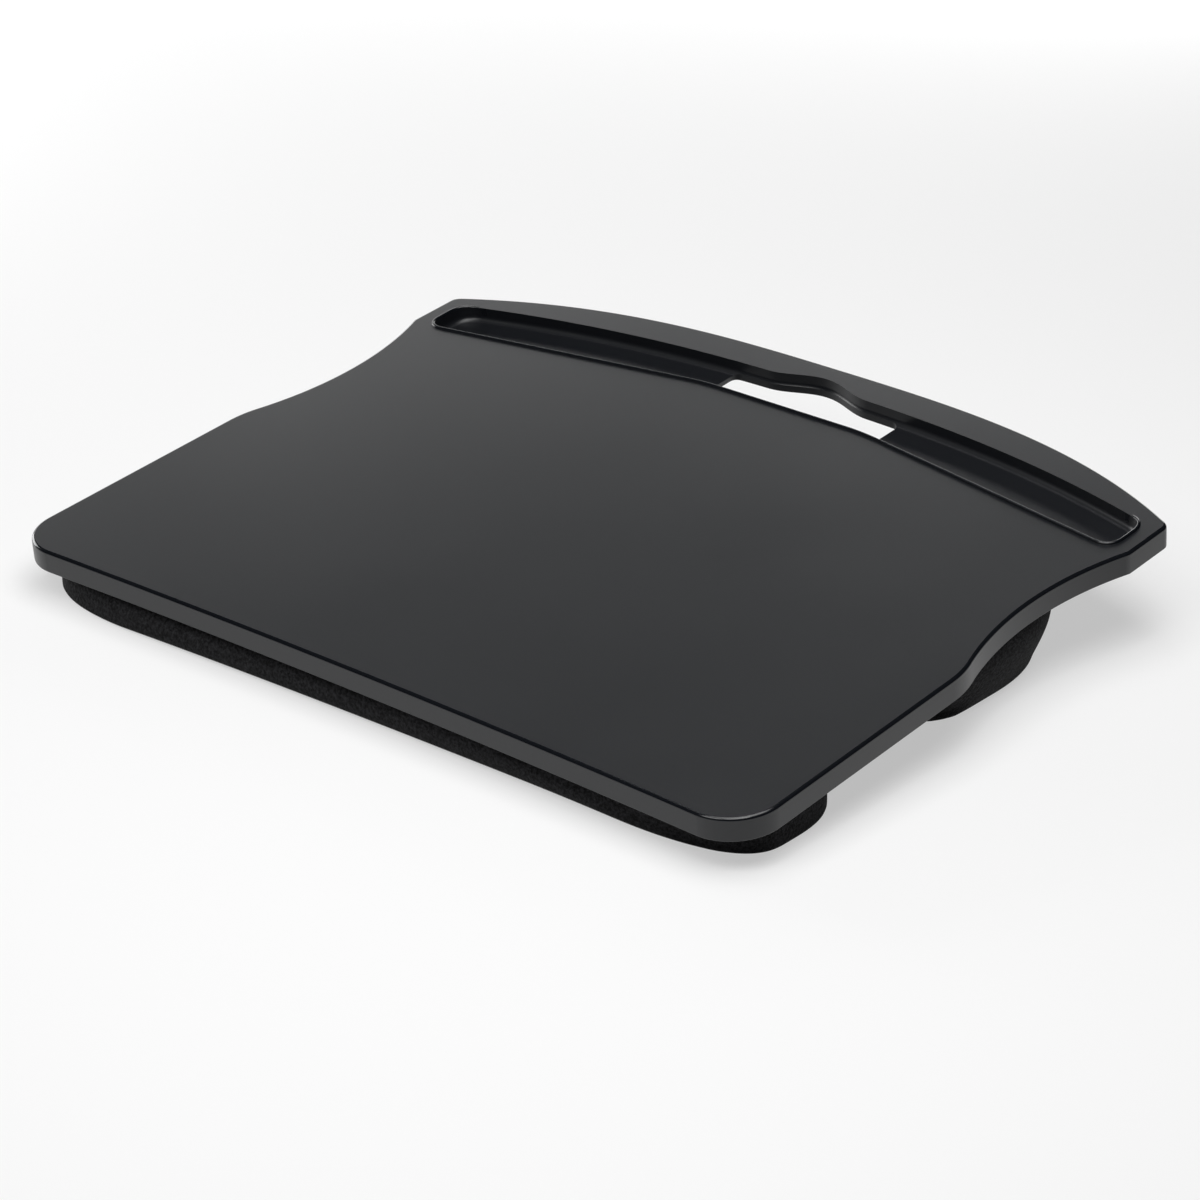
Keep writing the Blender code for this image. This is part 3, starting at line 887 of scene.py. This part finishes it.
def swell(bag, pressure):
    """Blows a bag up with cloth. No point moves further than the limit or through the floor."""
    start = [v.co.copy() for v in bag.data.vertices]
    hold_still(bag)
    cloth = bag.modifiers.new("swell", "CLOTH")
    cloth.settings.quality = cloth_quality
    cloth.settings.mass = cloth_mass
    cloth.settings.tension_stiffness = cloth_stretch
    cloth.settings.compression_stiffness = cloth_stretch
    cloth.settings.shear_stiffness = cloth_shear
    cloth.settings.bending_stiffness = cloth_bending
    cloth.settings.use_pressure = True
    cloth.settings.uniform_pressure_force = pressure
    cloth.settings.effector_weights.gravity = 0.0
    cloth.settings.vertex_group_mass = "held"
    scene = bpy.context.scene
    for number in range(1, swell_frames + 1):
        scene.frame_set(number)
    finish_modifiers(bag)
    farthest = 0.0
    for vertex, place in zip(bag.data.vertices, start):
        step = vertex.co - place
        if step.length > swell_limit:
            step *= swell_limit / step.length
        farthest = max(farthest, step.length)
        vertex.co = place + step
        vertex.co.z = max(vertex.co.z, 0.0)
    scene.frame_set(1)
    print(bag.name, "swelled by up to", round(farthest, 4))


swell(front_bag, front_pressure)
swell(rear_bag, rear_pressure)

# %% [markdown]
# ## The filling
#
# The loose beads take whatever shape the bag has, up to the underside of the board. So the
# filling is made from the blown-up bag: a copy loses its hem, is closed along the board, and is
# drawn in by the thickness of the fabric and a hair more.

# %% Fill the bags
fabric_thickness = 0.001
filling_gap = 0.0004


def fill_bag(bag, name, node):
    """A closed solid that lies inside a bag and under its board."""
    bpy.ops.object.select_all(action="DESELECT")
    bag.select_set(True)
    bpy.context.view_layer.objects.active = bag
    bpy.ops.object.duplicate()
    filling = bpy.context.object
    filling.name = filling.data.name = name
    pick(filling, "FACE", lambda face: all(above_board(v.co) > -near for v in face.verts))
    bpy.ops.mesh.delete(type="FACE")
    pick(filling, "EDGE", lambda edge: len(edge.link_faces) == 1)
    bpy.ops.mesh.fill()
    done(filling)
    drawn_in = filling.modifiers.new("drawn_in", "DISPLACE")
    drawn_in.mid_level = 0.0
    drawn_in.strength = -fabric_thickness - filling_gap
    finish_modifiers(filling)
    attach(filling, "root")
    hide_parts(node)
    print(name, "has", len(filling.data.polygons), "faces")
    return filling


front_beads = fill_bag(front_bag, "front_cushion_beads", "front_cushion_filling")
rear_beads = fill_bag(rear_bag, "rear_cushion_beads", "rear_cushion_filling")

# %% Give the fabric its thickness
fabric_crease_angle = math.radians(60)


def finish_bag(bag, node):
    """Gives the bag a fine mesh and its fabric a thickness."""
    fine = bag.modifiers.new("fine", "SUBSURF")
    fine.levels = fine.render_levels = 1
    wall = bag.modifiers.new("wall", "SOLIDIFY")
    wall.thickness = fabric_thickness
    wall.offset = -1.0
    finish_modifiers(bag)
    bpy.ops.object.select_all(action="DESELECT")
    bag.select_set(True)
    bpy.context.view_layer.objects.active = bag
    bpy.ops.object.shade_smooth_by_angle(angle=fabric_crease_angle)
    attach(bag, "root")
    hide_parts(node)


finish_bag(front_bag, "front_cushion_cover")
finish_bag(rear_bag, "rear_cushion_cover")

# %% [markdown]
# ## Writing materials as expressions
#
# A finish is a sum of small causes: a grain, a cloud of slightly duller plastic, a speckle of
# thread. Linking nodes one by one hides that sum in plumbing. The class below wraps a socket,
# so that plain Python arithmetic builds the Math nodes, and one method adds any other node.

# %% A small language for shaders


class Wire:
    """An output socket that can be added, multiplied and so on."""

    def __init__(self, finish, socket):
        self.finish = finish
        self.socket = socket

    def __add__(self, other):
        return self.finish.maths("ADD", self, other)

    def __radd__(self, other):
        return self.finish.maths("ADD", other, self)

    def __sub__(self, other):
        return self.finish.maths("SUBTRACT", self, other)

    def __rsub__(self, other):
        return self.finish.maths("SUBTRACT", other, self)

    def __mul__(self, other):
        return self.finish.maths("MULTIPLY", self, other)

    def __rmul__(self, other):
        return self.finish.maths("MULTIPLY", other, self)


class Finish:
    """A material whose nodes are written as expressions."""

    def __init__(self, name, **settings):
        self.material = bpy.data.materials.new(name)
        self.material.use_nodes = True
        self.tree = self.material.node_tree
        self.shader = self.tree.nodes["Principled BSDF"]
        for socket, value in settings.items():
            self.set(socket.replace("_", " "), value)

    def feed(self, socket, value):
        """Links a wire to a socket, or gives the socket a plain value."""
        if isinstance(value, Wire):
            self.tree.links.new(value.socket, socket)
        else:
            socket.default_value = value

    def set(self, socket, value):
        """Feeds a socket of the finish itself, such as its colour."""
        self.feed(self.shader.inputs[socket], value)

    def node(self, kind, settings=None, sockets=None, output=0):
        """Adds any node. Its settings come first, and then its sockets."""
        made = self.tree.nodes.new(kind)
        for name, value in (settings or {}).items():
            setattr(made, name, value)
        for key, value in (sockets or {}).items():
            self.feed(made.inputs[key], value)
        return Wire(self, made.outputs[output])

    def maths(self, operation, first, second):
        """One sum of two values or wires."""
        return self.node("ShaderNodeMath", {"operation": operation}, {0: first, 1: second})

    def place(self):
        """Where a point lies on the piece, in metres."""
        return self.node("ShaderNodeTexCoord", output="Object")

    def speckle(self, size, detail=2.0, roughness=0.5):
        """Soft noise from 0 to 1, with spots of about the given size in metres."""
        return self.node(
            "ShaderNodeTexNoise", {},
            {"Vector": self.place(), "Scale": 1.0 / size, "Detail": detail, "Roughness": roughness},
        )

    def between(self, dark, light, share):
        """A colour between two others."""
        return self.node(
            "ShaderNodeMix", {"data_type": "RGBA", "clamp_factor": True},
            {"Factor": share, 6: (*dark, 1.0), 7: (*light, 1.0)}, output=2,
        )

    def relief(self, height, depth):
        """Raises the surface by a height from 0 to 1 times a depth in metres."""
        self.set("Normal", self.node("ShaderNodeBump", {}, {"Height": height, "Distance": depth}))


def dress(piece, finish):
    """Gives every face of a piece one material."""
    slots = piece.data.materials
    if len(slots) == 0:
        slots.append(finish.material)
    for number in range(len(slots)):
        piece.material_slots[number].link = "OBJECT"
        piece.material_slots[number].material = finish.material


# %% [markdown]
# ## Black moulded plastic
#
# The deck comes out of a finely sanded mould, so it is neither glossy nor dead matt. Close up
# it has an even grain finer than a sheet of paper, and larger areas gleam a little more or a
# little less. The grain goes into the relief, and the slow change goes into the roughness.
# Hands polish the rounded edges first, so these are smoother and catch thin bright lines.

# %% Finish of the deck
plastic_dark = (0.0048, 0.0056, 0.0074)
plastic_light = (0.0062, 0.0070, 0.0090)
grain_size = 0.0006
grain_depth = 0.00002
grain_roughness = 0.03
cloud_size = 0.060
cloud_roughness = 0.05
cloud_share = 0.6
satin_roughness = 0.31
satin_gloss = 0.5
edge_polish = 0.20

plastic = Finish("black_satin_plastic", Specular_IOR_Level=satin_gloss)
cloud = plastic.speckle(cloud_size)
grain = plastic.speckle(grain_size)
polish = plastic.node("ShaderNodeAttribute", {"attribute_name": "polish"}, output="Fac")
mottle = cloud * cloud_share + grain * (1.0 - cloud_share)
plastic.set("Base Color", plastic.between(plastic_dark, plastic_light, mottle))
dullness = cloud * cloud_roughness + grain * grain_roughness
plastic.set("Roughness", satin_roughness + dullness - polish * edge_polish)
plastic.relief(grain * (1.0 - polish), grain_depth)
dress(deck, plastic)

# %% [markdown]
# ## Stretch fabric
#
# The covers are knitted from fine black yarn. From a step away the knit shows as a speckle of
# slightly lighter threads over deep black gaps, and the fabric has next to no shine. A woven
# image would look printed on so small a side. So two sizes of noise, one for the threads and one
# for their yarn, make the speckle, and the same sum raises the threads from the gaps.

# %% Finish of the cushions
thread_size = 0.0015
yarn_size = 0.0007
gap_black = (0.0010, 0.0010, 0.0012)
thread_black = (0.024, 0.024, 0.026)
thread_share = 0.6
thread_detail = 1.0
weave_middle = 0.5
weave_contrast = 3.6
weave_lightness = 0.45
weave_depth = 0.0003
fabric_dullness = 0.92
fabric_gloss = 0.2

fabric = Finish("black_stretch_knit", Roughness=fabric_dullness, Specular_IOR_Level=fabric_gloss)
threads = fabric.speckle(thread_size, detail=thread_detail)
yarn = fabric.speckle(yarn_size)
knit = threads * thread_share + yarn * (1.0 - thread_share)
weave = (knit - weave_middle) * weave_contrast + weave_lightness
fabric.set("Base Color", fabric.between(gap_black, thread_black, weave))
fabric.relief(weave, weave_depth)
dress(front_bag, fabric)
dress(rear_bag, fabric)

# %% [markdown]
# ## Boards, filling and screws
#
# Under the deck the parts that nobody sees are plainer: brown pressed board, white foam beads
# and zinc plated screws. The boards and screws keep the shape of the engineering model, and each
# material gets a finish of its own: fibres in the board, round cells in the beads with painted
# shade in the gaps between them, and fine crystals in the zinc.

# %% Finish of the boards
fibre_size = 0.0015
fibre_detail = 6.0
fibre_harshness = 0.7
fibre_depth = 0.0001
board_dark = (0.10, 0.055, 0.028)
board_light = (0.20, 0.12, 0.066)
board_dullness = 0.75

board = Finish("brown_pressed_board", Roughness=board_dullness)
fibres = board.speckle(fibre_size, detail=fibre_detail, roughness=fibre_harshness)
board.set("Base Color", board.between(board_dark, board_light, fibres))
board.relief(fibres, fibre_depth)

# %% Finish of the filling
foam_bead_size = 0.0025
foam_bead_relief = 0.001
foam_white = (0.88, 0.88, 0.86)
foam_painted_gap_shade = (0.55, 0.55, 0.54)
foam_dullness = 0.85

beads = Finish("white_foam_beads", Roughness=foam_dullness)
cells = beads.node(
    "ShaderNodeTexVoronoi", {}, {"Vector": beads.place(), "Scale": 1.0 / foam_bead_size}
)
# Each cell is white in its middle and grey towards its edge: painted shade in the gaps between the
# beads.
beads.set("Base Color", beads.between(foam_white, foam_painted_gap_shade, cells))
beads.relief(1.0 - cells, foam_bead_relief)
dress(front_beads, beads)
dress(rear_beads, beads)

# %% Finish of the screws
crystal_size = 0.0008
crystal_detail = 4.0
crystal_roughness = 0.2
zinc_dark = (0.52, 0.53, 0.55)
zinc_light = (0.70, 0.71, 0.72)
zinc_roughness = 0.25

zinc = Finish("zinc_plated_steel", Metallic=1.0)
plating = zinc.speckle(crystal_size, detail=crystal_detail)
zinc.set("Base Color", zinc.between(zinc_dark, zinc_light, plating))
zinc.set("Roughness", zinc_roughness + plating * crystal_roughness)
for name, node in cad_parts.items():
    if "board_screw" in name:
        dress(node, zinc)
    elif "backing_board" in name:
        dress(node, board)

# %% [markdown]
# ## Floor and light
#
# The tray stands on white paper. Light that makes the paper pure white would wash out a black
# object, so the paper is lit at a plain level and shows itself to the camera partly as its own
# white, and only partly as what falls on it. That keeps the soft shadow.
#
# A black tray shows its form by what it mirrors. Low panels behind it and on its left are
# mirrored at a slant by the satin top, which turns greyer towards the back left. Higher panels
# in front, on the right and overhead light the skirt and the rest of the top, and two small
# lamps put thin lines on the rounded edges.

# %% Lay the floor
floor_size = 12.0
floor_drop = 0.0001
floor_white = (0.80, 0.80, 0.80, 1.0)
own_white = (1.0, 1.0, 1.0, 1.0)
own_white_share = 0.5

bpy.ops.object.select_all(action="DESELECT")
bpy.ops.mesh.primitive_plane_add(size=floor_size, location=(0.0, 0.0, -floor_drop))
floor = bpy.context.object
floor.name = "white_floor"
paper = Finish("white_paper", Roughness=1.0, Specular_IOR_Level=0.0)
paper.set("Base Color", floor_white)
seen = paper.node("ShaderNodeLightPath", output="Is Camera Ray")
mirrored_too = paper.node("ShaderNodeLightPath", output="Is Glossy Ray")
through_too = paper.node("ShaderNodeLightPath", output="Is Transmission Ray")
glow = paper.node("ShaderNodeEmission", {}, {"Color": own_white, "Strength": 1.0})
shown = (seen + mirrored_too + through_too) * own_white_share
mixed = paper.node("ShaderNodeMixShader", {}, {0: shown, 2: glow})
paper.tree.links.new(paper.shader.outputs[0], mixed.socket.node.inputs[1])
paper.tree.links.new(mixed.socket, paper.tree.nodes["Material Output"].inputs["Surface"])
dress(floor, paper)

# %% Hang the lamps
lamp_distance = 1.1
panel_size = 0.5
overhead_size = 0.7
sparkle_size = 0.1
# Each lamp has a name, an azimuth and an elevation in degrees, a size and a power in watts.
lamps = (
    ("back_panel", 20, 12, panel_size, 1.9),
    ("back_left_panel", 45, 12, panel_size, 1.4),
    ("left_back_panel", 70, 12, panel_size, 1.1),
    ("left_panel", 95, 12, panel_size, 4.6),
    ("overhead_panel", 0, 86, overhead_size, 5.0),
    ("right_panel", -90, 65, panel_size, 2.2),
    ("front_panel", 180, 50, panel_size, 3.2),
    ("front_right_panel", -135, 58, panel_size, 4.2),
    ("back_sparkle", 30, 63, sparkle_size, 0.15),
    ("left_sparkle", 65, 60, sparkle_size, 0.15),
)
aim = Vector((0.0, 0.0, front_height))


def hang_lamp(name, azimuth, elevation, size, power):
    """A square soft panel, turned to the tray. Azimuth 0 is behind the tray and 90 on its left."""
    turn, rise = math.radians(azimuth), math.radians(elevation)
    reach = math.cos(rise)
    outward = Vector((-math.sin(turn) * reach, math.cos(turn) * reach, math.sin(rise)))
    bpy.ops.object.select_all(action="DESELECT")
    bpy.ops.object.light_add(type="AREA", location=aim + outward * lamp_distance)
    lamp = bpy.context.object
    lamp.name = name
    lamp.data.size = size
    lamp.data.energy = power
    lamp.rotation_euler = outward.to_track_quat("Z", "Y").to_euler()


for lamp in lamps:
    hang_lamp(*lamp)
print("lamps:", len(lamps))

# The room itself is dark, so the lamps do all the work, and colours are shown as they are.
world = bpy.data.worlds.new("studio_air")
bpy.context.scene.world = world
world.use_nodes = True
world.node_tree.nodes["Background"].inputs["Strength"].default_value = 0.0
bpy.context.scene.view_settings.view_transform = "Standard"
